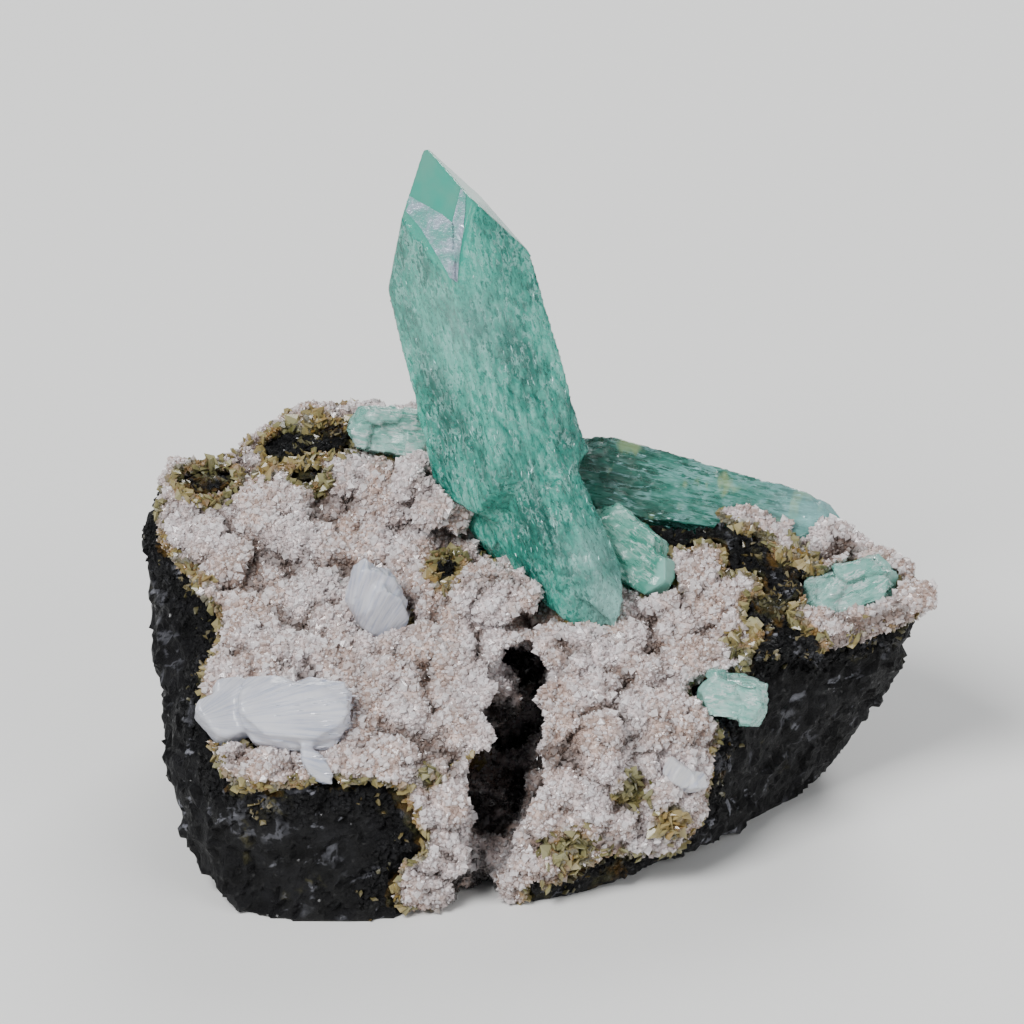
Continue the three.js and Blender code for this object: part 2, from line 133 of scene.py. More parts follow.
class Graph:
    """A material's node tree, built by small calls."""

    def __init__(self, name: str) -> None:
        """Makes an empty material of that name.

        Args:
            name: the material's name.
        """
        self.material = bpy.data.materials.new(name)
        self.material.use_nodes = True
        self.tree = self.material.node_tree
        self.tree.nodes.clear()

    def node(self, kind: str, settings: dict, values: dict, output: object = 0) -> Shade:
        """One node.

        Args:
            kind: the node's type.
            settings: its properties, which are set first.
            values: a value or a link for each of its sockets that needs one.
            output: the output to return.

        Returns:
            The node's chosen output.
        """
        made = self.tree.nodes.new(kind)
        for key, value in settings.items():
            setattr(made, key, value)
        for key, value in values.items():
            if isinstance(value, Shade):
                self.tree.links.new(value.socket, made.inputs[key])
            else:
                made.inputs[key].default_value = value
        return Shade(self, made.outputs[output])

    def attribute(self, name: str) -> Shade:
        """The mesh attribute of that name as a number."""
        return self.node("ShaderNodeAttribute", {"attribute_name": name}, {}, "Fac")

    def place(self) -> Shade:
        """The place on the object, in metres."""
        return self.node("ShaderNodeTexCoord", {}, {}, "Object")

    def along(self, axis: Vector, stretch: float) -> Shade:
        """The place in a frame that is squeezed along an axis, so that noise read in it runs along the axis.

        Args:
            axis: the direction of the streaks.
            stretch: how many times longer than wide they are.

        Returns:
            The squeezed place.
        """
        axis = axis.normalized()
        turn = axis.rotation_difference(Vector((0, 0, 1))).to_euler()
        turned = self.node("ShaderNodeVectorRotate", {"rotation_type": "EULER_XYZ"},
                           {"Vector": self.place(), "Rotation": tuple(turn)})
        return self.node("ShaderNodeVectorMath", {"operation": "MULTIPLY"},
                         {0: turned, 1: (1.0, 1.0, 1.0 / stretch)})

    def noise(self, size: float, place: Shade | None = None, detail: float = 3.0,
              rough: float = 0.55) -> Shade:
        """Noise from 0 to 1 whose swells are size millimetres across.

        Args:
            size: the swells' width.
            place: where it is read, unless in the object's own frame.
            detail: how many finer layers it has.
            rough: how strong they are.

        Returns:
            The noise.
        """
        values = {"Vector": place or self.place(), "Scale": 1 / (size * MM), "Detail": detail,
                  "Roughness": rough}
        return self.node("ShaderNodeTexNoise", {}, values, "Fac")

    def cells(self, size: float) -> Shade:
        """The distance to the middle of the nearest cell, of cells that are size millimetres across."""
        values = {"Vector": self.place(), "Scale": 1 / (size * MM)}
        return self.node("ShaderNodeTexVoronoi", {}, values, "Distance")

    def mix(self, share: object, first: object, second: object) -> Shade:
        """A blend of two colours."""
        return self.node("ShaderNodeMix", {"data_type": "RGBA"}, {0: share, 6: first, 7: second}, 2)

    def bump(self, height: Shade, depth: float) -> Shade:
        """A bump whose height runs to depth millimetres."""
        return self.node("ShaderNodeBump", {}, {"Height": height, "Distance": depth * MM, "Strength": 1.0})

    def surface(self, **values: object) -> bpy.types.Material:
        """Ends the graph in a Principled BSDF.

        Args:
            values: a value or a link for each socket, with _ for a space.

        Returns:
            The material.
        """
        sockets = {key.replace("_", " "): value for key, value in values.items()}
        shader = self.node("ShaderNodeBsdfPrincipled", {}, sockets)
        end = self.tree.nodes.new("ShaderNodeOutputMaterial")
        self.tree.links.new(shader.socket, end.inputs["Surface"])
        return self.material


def rgb(hex_code: str) -> tuple[float, float, float, float]:
    """A colour written as in a style sheet, in linear values."""
    channels = [int(hex_code[i:i + 2], 16) / 255 for i in (1, 3, 5)]
    return (*[c / 12.92 if c <= 0.04045 else ((c + 0.055) / 1.055) ** 2.4 for c in channels], 1.0)


@dataclass(frozen=True)
class GreenCrystal:
    """Translucent green apophyllite: webbed and milky where it is rough, clear at its smooth tip.

    Args:
        name: the material's name.
        axis: the direction of its streaks.
        deep: its darkest colour.
        light: its middle colour.
        milk: its cloudy colour.
        tip: its colour where it is smooth.
        milkiness: how cloudy it is.
        transmission: how see-through it is.
        stain: how yellow its patches are.
        streak: how many times longer than wide its streaks are.
    """

    name: str
    axis: Vector
    deep: str = "#05685c"
    light: str = "#3ab8a2"
    milk: str = "#b2eae2"
    tip: str = "#6bb7a4"
    milkiness: float = 0.55
    transmission: float = 0.4
    stain: float = 0.0
    streak: float = 1.9

    def material(self) -> bpy.types.Material:
        """Builds the shader.

        Returns:
            The material.
        """
        g = Graph(self.name)
        rough = g.attribute("rough")
        fine = g.noise(0.45, g.along(self.axis, self.streak), 5.0, 0.65)
        broad = g.noise(5.0, g.along(self.axis, 2.0), 3.0)
        web = g.noise(0.9, g.along(self.axis, self.streak), 3.0, 0.7)
        web = ((web - 0.5) * (web - 0.5)).between(0.002, 0.0) * g.noise(2.4).between(0.4, 0.56)
        void = g.noise(1.7, g.along(self.axis, 1.8), 3.0, 0.6).between(0.58, 0.66) * broad.between(0.62, 0.4)
        base = g.mix((fine * 0.7 + broad * 0.8).between(0.58, 0.92), rgb(self.deep), rgb(self.light))
        base = g.mix(void * 0.7, base, rgb(self.deep))
        cloud = (broad * 0.6 + fine * 0.8).between(0.74, 0.96) * self.milkiness + web * self.milkiness * 0.9
        color = g.mix(cloud, base, rgb(self.milk))
        yellow = g.noise(4.0, g.along(self.axis, 0.5), 2.0).between(0.56, 0.7) * self.stain
        color = g.mix(yellow, color, rgb("#a9bd7c"))
        color = g.mix(g.attribute("frost") * (0.35 + fine * 0.8), color, rgb(self.milk))
        tip = g.mix(broad.between(0.35, 0.65), rgb(self.tip), rgb(self.light))
        color = g.mix(rough.between(0.05, 0.6), tip, color)
        relief = fine * 0.8 + g.noise(1.0, g.along(self.axis, 3.0)) * 0.7
        return g.surface(
            Base_Color=color,
            Roughness=0.06 + rough * (0.08 + fine * 0.3),
            IOR=1.535,
            Transmission_Weight=self.transmission,
            Coat_Weight=0.25,
            Coat_Roughness=0.06,
            Normal=g.bump(relief * rough, 0.25),
        )


@dataclass(frozen=True)
class BevelReflection:
    """A painted reflection: the silvery blue sheen that the narrow bevels under the tall crystal's point
    reflect, painted into their colour.
    """

    name: str = "bevel"

    def material(self) -> bpy.types.Material:
        """Builds the shader.

        Returns:
            The material.
        """
        g = Graph(self.name)
        speck = g.noise(0.25, None, 3.0, 0.7).between(0.5, 0.64)
        cloud = g.noise(1.8, None, 4.0, 0.65).between(0.38, 0.62)
        # painted reflection: silvery blue clouding over the bevels' teal, with a little metal shine where it
        # is bluest
        color = g.mix(cloud, rgb("#69b5ab"), rgb("#bccbdc"))
        return g.surface(
            Base_Color=g.mix(speck * 0.5, color, rgb("#54707a")),
            Roughness=0.22 + speck * 0.2,
            IOR=1.535,
            Metallic=cloud * 0.2,
            Transmission_Weight=0.35,
            Coat_Weight=0.5,
            Coat_Roughness=0.1,
            Normal=g.bump(g.noise(0.3), 0.05),
        )


@dataclass(frozen=True)
class Needle:
    """Fine needles on a crystal's faces.

    Args:
        name: the material's name.
        dark: its darker colour.
        pale: its lighter colour.
        transmission: how see-through it is.
    """

    name: str
    dark: str
    pale: str
    transmission: float = 0.3

    def material(self) -> bpy.types.Material:
        """Builds the shader.

        Returns:
            The material.
        """
        g = Graph(self.name)
        return g.surface(
            Base_Color=g.mix(g.attribute("tone"), rgb(self.dark), rgb(self.pale)),
            Roughness=0.2,
            IOR=1.535,
            Transmission_Weight=self.transmission,
        )


@dataclass(frozen=True)
class Druse:
    """Pinkish-white druse with painted shade in its hollows and a painted shadow in the cleft, olive and
    ochre beside the bare basalt.

    Args:
        name: the material's name.
        grains: whether it is for the grains and not for their bed.
    """

    name: str = "druse"
    grains: bool = False

    def material(self) -> bpy.types.Material:
        """Builds the shader.

        Returns:
            The material.
        """
        g = Graph(self.name)
        tone = g.attribute("tone") if self.grains else g.noise(0.6)
        patch = g.noise(7.0).between(0.38, 0.62)
        pale = g.mix(patch, rgb("#d8cbca"), rgb("#c3aa9e"))
        pale = g.mix(tone.between(0.45, 0.95) * 0.85, pale, rgb("#fdf8f9"))
        # painted shade: brown-grey darkening in the creases between the knobs, lightest on the knobs
        hollow = g.attribute("hollow").between(0.18, 0.66)
        color = g.mix(hollow * 0.85, pale, rgb("#6a5448"))
        rim = g.attribute("rim")
        stain = g.mix(g.noise(2.6).between(0.42, 0.58), rgb("#5b582e"), rgb("#93702c"))
        color = g.mix((rim + (g.noise(1.7) - 0.5) * 1.1).between(0.45, 0.75) * 0.85, color, stain)
        shadow = g.attribute("deep") * (0.3 + g.noise(5.0).between(0.56, 0.44) * 0.65)
        color = g.mix(shadow, color, rgb("#17100d"))
        return g.surface(
            Base_Color=color,
            Roughness=0.2 + tone * 0.3,
            IOR=1.5,
            Transmission_Weight=0.35 if self.grains else 0.0,
            Coat_Weight=0.5,
            Coat_Roughness=0.08,
            Normal=g.bump(g.noise(0.35), 0.12),
        )


@dataclass(frozen=True)
class Basalt:
    """Nearly black broken basalt with grey zeolite streaks and blobs."""

    name: str = "basalt"

    def material(self) -> bpy.types.Material:
        """Builds the shader.

        Returns:
            The material.
        """
        g = Graph(self.name)
        tone = g.noise(3.0, None, 6.0, 0.65)
        dark = g.mix(tone.between(0.35, 0.7), rgb("#020203"), rgb("#17171a"))
        bend = g.node("ShaderNodeVectorMath", {"operation": "ADD"}, {
            0: g.place(),
            1: g.node("ShaderNodeVectorMath", {"operation": "MULTIPLY"}, {
                0: g.node("ShaderNodeTexNoise", {}, {"Vector": g.place(), "Scale": 160.0}, "Color"),
                1: (0.004, 0.004, 0.004),
            }),
        })
        vein = g.noise(7.0, bend, 5.0, 0.6)
        streak = (vein - 0.5) * (vein - 0.5)
        streak = streak.between(0.0009, 0.0) * g.noise(6.0).between(0.54, 0.62)
        bubble = g.noise(1.3, g.along(Vector((0.8, -0.3, 0.5)), 2.4), 3.0).between(0.6, 0.68)
        bubble = bubble * g.noise(7.0).between(0.48, 0.6)
        color = g.mix(streak * 0.3 + bubble * 0.85, dark, rgb("#9a9ba4"))
        moss = g.noise(6.0, bend).between(0.6, 0.75) * g.noise(1.2).between(0.45, 0.6)
        color = g.mix(moss * 0.75, color, rgb("#5c5838"))
        stain = g.mix(g.noise(2.6).between(0.42, 0.58), rgb("#3f3e22"), rgb("#6b4f1e"))
        patchy = g.attribute("rim") * g.noise(4.5).between(0.42, 0.56)
        color = g.mix((patchy + (g.noise(1.1) - 0.5) * 0.8).between(0.4, 0.75) * 0.8, color, stain)
        rough = g.noise(0.5, None, 5.0, 0.7)
        glint = g.cells(0.9).between(0.3, 0.1)
        return g.surface(
            Base_Color=color,
            Roughness=0.48 - glint * 0.25 + tone * 0.12,
            IOR=1.55,
            Specular_IOR_Level=0.28,
            Coat_Weight=glint * 0.4,
            Coat_Roughness=0.15,
            Normal=g.bump(rough * 1.1 + tone * 1.1, 0.8),
        )


@dataclass(frozen=True)
class Stilbite:
    """Bluish-white stilbite with a pearly shine, whose fibres spread from a waist.

    Args:
        name: the material's name.
        waist: where the fibres meet, in metres.
        pale: its lighter colour.
    """

    name: str
    waist: Vector
    pale: str = "#f4f5fc"

    def fibres(self, g: Graph) -> Shade:
        """Noise that runs outwards from the waist.

        Args:
            g: the graph.

        Returns:
            The noise, from 0 to 1.
        """

        def component(direction: Vector) -> Shade:
            """How far a place lies from the waist in a direction.

            Args:
                direction: a unit vector.

            Returns:
                The distance in metres.
            """
            kind = {"operation": "DOT_PRODUCT"}
            whole = g.node("ShaderNodeVectorMath", kind, {0: g.place(), 1: tuple(direction)}, "Value")
            return whole - self.waist.dot(direction)

        right, up, out = (component(direction) for direction in (SHOW_RIGHT, SHOW_UP, SHOW_OUT))
        turn = g.node("ShaderNodeMath", {"operation": "ARCTAN2"}, {0: up, 1: right})
        reach = g.node("ShaderNodeMath", {"operation": "SQRT"}, {0: right * right + up * up})
        spread = g.node("ShaderNodeCombineXYZ", {}, {0: turn * 0.016, 1: reach * 0.05, 2: out * 0.25})
        return g.noise(0.36, spread, 4.0, 0.65)

    def material(self) -> bpy.types.Material:
        """Builds the shader.

        Returns:
            The material.
        """
        g = Graph(self.name)
        fibre = self.fibres(g)
        cloud = g.noise(4.0)
        color = g.mix((fibre * 0.8 + cloud * 0.3).between(0.34, 0.64), rgb("#bcc4dc"), rgb(self.pale))
        return g.surface(
            Base_Color=color,
            Roughness=0.22 + fibre * 0.22,
            IOR=1.5,
            Transmission_Weight=0.45,
            Coat_Weight=0.45,
            Coat_Roughness=0.15,
            Normal=g.bump(fibre, 0.12),
        )


@dataclass(frozen=True)
class Olive:
    """Olive to ochre crystals beside the basalt.

    Args:
        name: the material's name.
        olive: its olive colour.
        ochre: its ochre colour.
        light: its lighter colour.
    """

    name: str = "olive"
    olive: str = "#4c4c26"
    ochre: str = "#7b6129"
    light: str = "#b0a878"

    def material(self) -> bpy.types.Material:
        """Builds the shader.

        Returns:
            The material.
        """
        g = Graph(self.name)
        tone = g.attribute("tone")
        color = g.mix(g.noise(5.0).between(0.42, 0.6), rgb(self.olive), rgb(self.ochre))
        return g.surface(
            Base_Color=g.mix(tone * 0.55, color, rgb(self.light)),
            Roughness=0.25 + tone * 0.2,
            IOR=1.55,
            Transmission_Weight=0.15,
            Coat_Weight=0.3,
            Coat_Roughness=0.1,
        )


# Meshes


def solid_copy(node: str, name: str) -> bpy.types.Object:
    """Copies a CAD node and merges its loose triangles into one closed mesh.

    Args:
        node: the CAD node.
        name: the copy's name.

    Returns:
        The copy.
    """
    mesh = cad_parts[node].data.copy()
    mesh.materials.clear()
    mesh.name = name
    work = bmesh.new()
    work.from_mesh(mesh)
    bmesh.ops.remove_doubles(work, verts=work.verts, dist=1e-7)
    work.to_mesh(mesh)
    work.free()
    for key in [a.name for a in mesh.attributes if a.name.startswith("UV")]:
        mesh.attributes.remove(mesh.attributes[key])
    made = bpy.data.objects.new(name, mesh)
    bpy.context.scene.collection.objects.link(made)
    return made


def flattened(made: bpy.types.Object) -> bpy.types.Object:
    """Applies and removes the object's modifiers.

    Args:
        made: the object.

    Returns:
        The same object.
    """
    evaluated = made.evaluated_get(bpy.context.evaluated_depsgraph_get())
    mesh = bpy.data.meshes.new_from_object(evaluated)
    made.modifiers.clear()
    made.data = mesh
    mesh.name = made.name
    return made


def remeshed(made: bpy.types.Object, cell: float) -> bpy.types.Object:
    """Divides the object into even faces.

    Args:
        made: the object.
        cell: the faces' width in millimetres.

    Returns:
        The same object.
    """
    step = made.modifiers.new("even", "REMESH")
    step.mode = "VOXEL"
    step.voxel_size = cell * MM
    return flattened(made)


def points_of(mesh: bpy.types.Mesh) -> np.ndarray:
    """Reads the mesh's points as rows, in metres.

    Args:
        mesh: the mesh.

    Returns:
        The points.
    """
    flat = np.zeros(len(mesh.vertices) * 3, np.float32)
    mesh.vertices.foreach_get("co", flat)
    return flat.reshape(-1, 3).astype(float)


def normals_of(mesh: bpy.types.Mesh) -> np.ndarray:
    """Reads the mesh's vertex normals as rows.

    Args:
        mesh: the mesh.

    Returns:
        The normals.
    """
    flat = np.zeros(len(mesh.vertices) * 3, np.float32)
    mesh.vertex_normals.foreach_get("vector", flat)
    return flat.reshape(-1, 3).astype(float)


def move_points(mesh: bpy.types.Mesh, points: np.ndarray) -> None:
    """Puts the mesh's points in new places, kept inside the CAD box.

    Args:
        mesh: the mesh.
        points: the new places.
    """
    low, high = (np.array(corner) for corner in CAD_BOX)
    inside = np.clip(points, low + 1e-6, high - 1e-6)
    mesh.vertices.foreach_set("co", inside.astype(np.float32).ravel())
    mesh.update()


def store(mesh: bpy.types.Mesh, name: str, values: np.ndarray) -> None:
    """Keeps a number for each point of the mesh."""
    layer = mesh.attributes.new(name, "FLOAT", "POINT")
    layer.data.foreach_set("value", values.astype(np.float32))


def fractal(points: np.ndarray, size: float, octaves: int = 3) -> np.ndarray:
    """Noise at each point from about -1 to 1, whose swells are size millimetres across."""
    scale = 1 / (size * MM)
    return np.array([noise.fractal(Vector(p) * scale, 0.9, 2.0, octaves) for p in points])


def domes(points: np.ndarray, size: float) -> np.ndarray:
    """Makes round knobs with creases between them.

    Args:
        points: the points.
        size: the knobs' width in millimetres.

    Returns:
        0 in the creases, up to 1 on the knobs.
    """
    scale = 1 / (size * MM)
    reach = np.array([noise.voronoi(Vector(p) * scale)[0][0] for p in points])
    return np.sqrt(np.clip(1 - (1.3 * reach) ** 2, 0, 1))


def lean_of(middle: Vector) -> Vector:
    """A direction for the cell round that middle, the same on every run."""
    turns = (Vector((12.9, 78.2, 37.7)), Vector((39.3, 11.1, 83.2)), Vector((73.1, 52.2, 9.8)))
    return Vector([math.sin(middle.dot(turn)) for turn in turns]).normalized()


def chips(points: np.ndarray, size: float) -> np.ndarray:
    """Makes flat chips that tilt every way and meet in small steps.

    Args:
        points: the points.
        size: the chips' width in millimetres.

    Returns:
        Heights from about -0.6 to 0.6.
    """
    scale = 1 / (size * MM)
    heights = []
    for p in points:
        place = Vector(p) * scale
        middle = noise.voronoi(place)[1][0]
        heights.append((place - middle).dot(lean_of(middle)))
    return np.array(heights)


def show_places(points: np.ndarray) -> np.ndarray:
    """The points in the leaning show face's own frame, in millimetres."""
    frame_axes = np.array((SHOW_RIGHT, SHOW_UP, SHOW_OUT)).T
    return (points - np.array(SHOW_ORIGIN)) @ frame_axes / MM


def smooth(values: np.ndarray, low: float, high: float) -> np.ndarray:
    """0 below low, 1 above high and smooth between them; low may be the larger."""
    share = np.clip((values - low) / (high - low), 0, 1)
    return share * share * (3 - 2 * share)


def nearest(points: np.ndarray, targets: np.ndarray) -> np.ndarray:
    """Measures from each point to the nearest of the targets, in millimetres.

    Args:
        points: the points.
        targets: the targets.

    Returns:
        The distances.
    """
    tree = KDTree(len(targets))
    for i, target in enumerate(targets):
        tree.insert(target, i)
    tree.balance()
    return np.array([tree.find(p)[2] for p in points]) / MM


# Scattered crystals


class Habit(Enum):
    """The shape of a small crystal, as the number of its sides."""

    SQUARE = 4
    SIX_SIDED = 6
    PLATE = 5


def grain(habit: Habit, slender: float) -> bpy.types.Object:
    """A small crystal, one unit high, with a waist and a point at each end.

    Args:
        habit: how many sides it has.
        slender: its width over its height.

    Returns:
        An object that isn't in the scene.
    """
    sides = habit.value
    work = bmesh.new()
    top = work.verts.new((0, 0, 0.6))
    foot = work.verts.new((0, 0, -0.4))
    ring = []
    for i in range(sides):
        turn = 2 * math.pi * i / sides
        flat = 0.35 if habit is Habit.PLATE else 1.0
        ring.append(work.verts.new((math.cos(turn) * slender / 2, math.sin(turn) * slender * flat / 2, 0.12)))
    for i in range(sides):
        after = ring[(i + 1) % sides]
        work.faces.new((top, ring[i], after))
        work.faces.new((foot, after, ring[i]))
    mesh = bpy.data.meshes.new("grain")
    work.to_mesh(mesh)
    work.free()
    return bpy.data.objects.new("grain", mesh)


@dataclass
class Scatter:
    """A node tree that sets small crystals all over a surface.

    Args:
        tilt: how far they lean from the surface's normal, in radians.
        axis: their common direction where they all lie one way, else None.
    """

    tilt: float = 0.6
    axis: Vector | None = None
    inputs: dict = field(default_factory=dict)

    def tree(self) -> bpy.types.NodeTree:
        """Builds the tree, with its named inputs.

        Returns:
            The tree.
        """
        tree = bpy.data.node_groups.new("scatter", "GeometryNodeTree")
        face = tree.interface
        face.new_socket("Geometry", in_out="INPUT", socket_type="NodeSocketGeometry")
        kinds = {"Grain": "Object", "Finish": "Material", "Density": "Float", "Least": "Float",
                 "Most": "Float", "Seed": "Int", "Mask": "String"}
        for name, kind in kinds.items():
            socket = face.new_socket(name, in_out="INPUT", socket_type=f"NodeSocket{kind}")
            self.inputs[name] = socket.identifier
        face.new_socket("Geometry", in_out="OUTPUT", socket_type="NodeSocketGeometry")

        def add(kind: str, settings: dict | None = None, links: dict | None = None) -> bpy.types.Node:
            """Adds one node.

            Args:
                kind: the node's type.
                settings: its properties.
                links: its sockets' values or links.

            Returns:
                The node.
            """
            made = tree.nodes.new(kind)
            for key, value in (settings or {}).items():
                setattr(made, key, value)
            for key, value in (links or {}).items():
                if isinstance(value, bpy.types.NodeSocket):
                    tree.links.new(value, made.inputs[key])
                else:
                    made.inputs[key].default_value = value
            return made

        given = add("NodeGroupInput").outputs
        mask = add("GeometryNodeInputNamedAttribute", {"data_type": "FLOAT"}, {"Name": given["Mask"]})
        dense = add("ShaderNodeMath", {"operation": "MULTIPLY"}, {0: mask.outputs[0], 1: given["Density"]})
        spread = add("GeometryNodeDistributePointsOnFaces", {"distribute_method": "RANDOM"},
                     {"Mesh": given["Geometry"], "Density": dense.outputs[0], "Seed": given["Seed"]})
        kind = {"data_type": "FLOAT_VECTOR"}
        lean = add("FunctionNodeRandomValue", kind, {
            0: (-self.tilt, -self.tilt, -math.pi if self.axis is None else -0.05),
            1: (self.tilt, self.tilt, math.pi if self.axis is None else 0.05),
            "Seed": given["Seed"],
        })
        size = add("FunctionNodeRandomValue", {"data_type": "FLOAT"},
                   {2: given["Least"], 3: given["Most"], "Seed": given["Seed"]})
        tone = add("FunctionNodeRandomValue", {"data_type": "FLOAT"}, {2: 0.0, 3: 1.0, "Seed": given["Seed"]})
        if self.axis is None:
            base = spread.outputs["Rotation"]
        else:
            turn = self.axis.normalized().to_track_quat("Z", "Y").to_euler()
            base = add("FunctionNodeEulerToRotation", {}, {0: tuple(turn)}).outputs[0]
        turned = add("FunctionNodeRotateRotation", {"rotation_space": "LOCAL"}, {0: base, 1: lean.outputs[0]})
        placed = add("GeometryNodeInstanceOnPoints", {}, {
            "Points": spread.outputs["Points"],
            "Instance": add("GeometryNodeObjectInfo", {}, {"Object": given["Grain"]}).outputs["Geometry"],
            "Rotation": turned.outputs[0],
            "Scale": size.outputs[1],
        })
        toned = add("GeometryNodeStoreNamedAttribute", {"data_type": "FLOAT", "domain": "INSTANCE"},
                    {"Geometry": placed.outputs[0], "Name": "tone", "Value": tone.outputs[1]})
        real = add("GeometryNodeRealizeInstances", {}, {0: toned.outputs[0]})
        done = add("GeometryNodeSetMaterial", {}, {"Geometry": real.outputs[0], "Material": given["Finish"]})
        tree.links.new(done.outputs[0], add("NodeGroupOutput").inputs[0])
        return tree

    def grow(self, host: bpy.types.Object, name: str, finish: bpy.types.Material, small: bpy.types.Object,
             density: float, least: float, most: float, seed: int, mask: str) -> bpy.types.Object:
        """Scatters crystals over a host and returns them as one plain mesh.

        Args:
            host: the object whose surface they stand on.
            name: the new piece's name.
            finish: their material.
            small: the crystal that is repeated.
            density: how many stand on a square millimetre where the mask is 1.
            least: the smallest one's height in millimetres.
            most: the largest one's.
            seed: the random seed.
            mask: the host's attribute that thins them out.

        Returns:
            The piece.
        """
        made = bpy.data.objects.new(name, host.data.copy())
        bpy.context.scene.collection.objects.link(made)
        step = made.modifiers.new("scatter", "NODES")
        step.node_group = self.tree()
        given = {"Grain": small, "Finish": finish, "Density": density / MM**2, "Least": least * MM,
                 "Most": most * MM, "Seed": seed, "Mask": mask}
        for key, value in given.items():
            step[self.inputs[key]] = value
        flattened(made)
        made.data.polygons.foreach_set("use_smooth", np.zeros(len(made.data.polygons), bool))
        move_points(made.data, points_of(made.data))
        return made


def finish_piece(made: bpy.types.Object, slot: str, *nodes: str,
                 material: bpy.types.Material | None = None) -> None:
    """Gives a piece its material, hides the CAD nodes that it stands for, logs its triangles and lets it ride
    on the root.

    Args:
        made: the piece.
        slot: the record's material slot; not used.
        nodes: the CAD nodes that it stands for.
        material: its material, unless it has one already.
    """
    if material is not None:
        made.data.materials.clear()
        made.data.materials.append(material)
    if nodes:
        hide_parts(*nodes)
    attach(made, "root")
    log.info("%s: %d triangles", made.name, sum(len(p.vertices) - 2 for p in made.data.polygons))


# Sub-assemblies


@dataclass(frozen=True)
class Stain:
    """A patch of olive or ochre staining on the show face, in millimetres.

    Args:
        right: its place to the right.
        up: its place up.
        radius: its radius.
        strength: how strong it is.
    """

    right: float
    up: float
    radius: float
    strength: float = 1.0

    def over(self, places: np.ndarray) -> np.ndarray:
        """How strongly it colours each place."""
        reach = np.hypot(places[:, 0] - self.right, places[:, 1] - self.up) / self.radius
        return self.strength * np.exp(-(reach**2))


STAINS = (
    Stain(12.6, -28.6, 2.6), Stain(6.2, -35.0, 3.6), Stain(16.8, -32.2, 2.6), Stain(10.0, -37.5, 3.4, 0.9),
    Stain(-8.6, -27.2, 2.2, 0.8), Stain(-3.4, -25.6, 1.8, 0.7), Stain(-7.6, -6.4, 2.6, 0.9),
    Stain(30.2, -4.8, 3.4, 0.8), Stain(26.6, -10.8, 3.4), Stain(23.6, -13.6, 2.0, 0.9),
    Stain(-21.5, 9.0, 4.4, 0.75), Stain(-26.0, 4.8, 3.0, 0.7), Stain(-32.2, 4.6, 2.6, 0.9),
    Stain(-33.0, -7.0, 1.8, 0.9), Stain(-3.2, 3.2, 2.0, 0.7), Stain(-27.0, -28.2, 2.4, 0.7),
    Stain(18.0, 0.6, 2.2, 0.6), Stain(22.0, -27.6, 2.0, 0.7),
)


